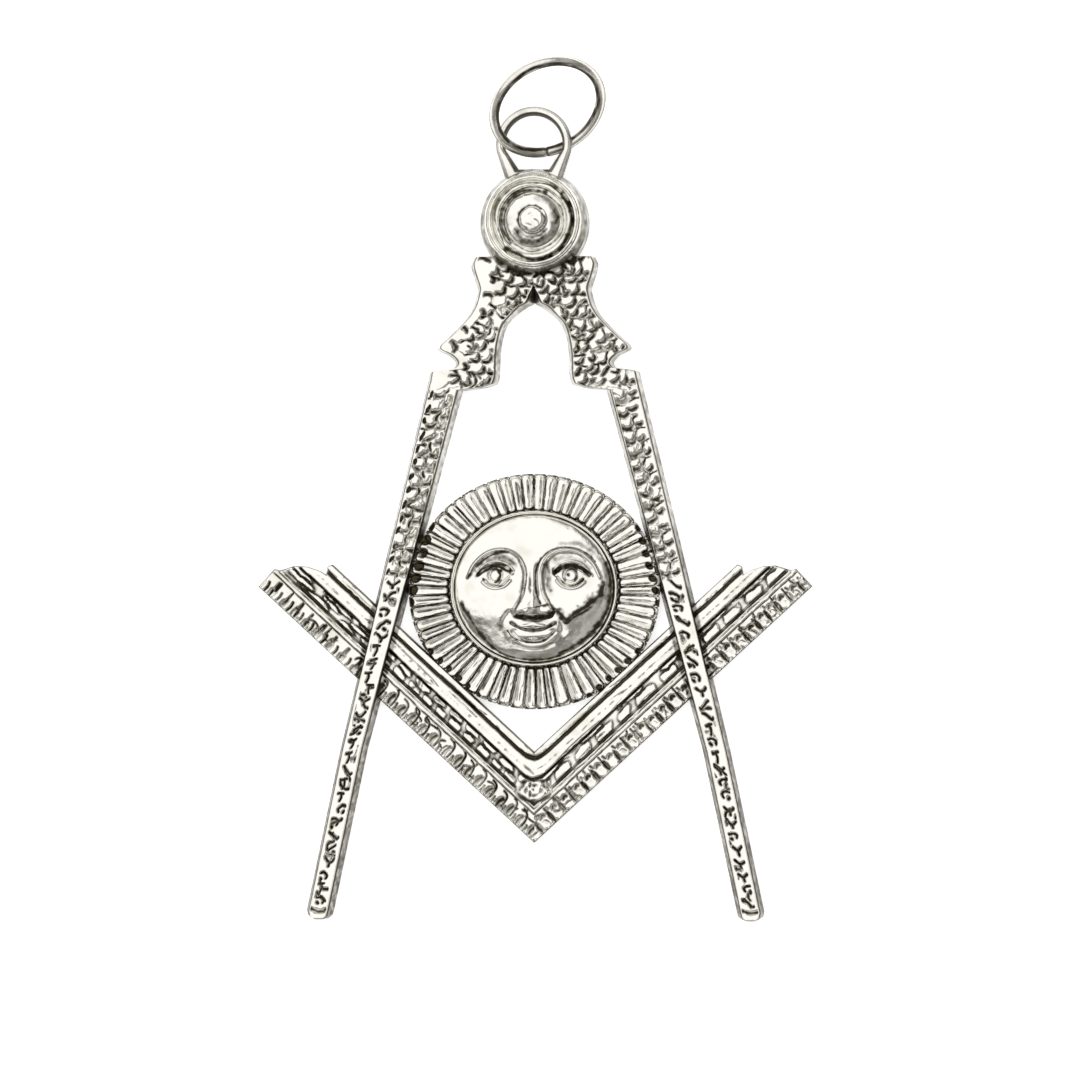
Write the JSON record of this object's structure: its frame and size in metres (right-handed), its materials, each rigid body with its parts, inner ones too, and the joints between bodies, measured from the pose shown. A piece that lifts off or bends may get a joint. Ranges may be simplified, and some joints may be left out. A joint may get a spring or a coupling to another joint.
{
  "type": "masonic collar jewel with jump ring",
  "caption": "Cast silver-coloured collar jewel: square and compasses with a smiling sun between the legs, hinge boss, suspension eye and a wire jump ring.",
  "frame": {"origin": "middle of the sun on the casting's flat back", "axes": "+Y from the feet to the suspension eye, +X to the right as seen from the front, +Z out of the front; the jewel lies on its back on the plane z = 0"},
  "size_m": [0.0552, 0.0853, 0.0093],
  "materials": {
    "antique_silver": "polished antique silver plate on cast white metal, dark brown-black tarnish in the recesses",
    "silver_wire": "bright silver-plated round wire with fine drawing marks"
  },
  "bodies": {
    "root": {"casting": "antique_silver", "jump_ring": "silver_wire"}
  },
  "joints": []
}
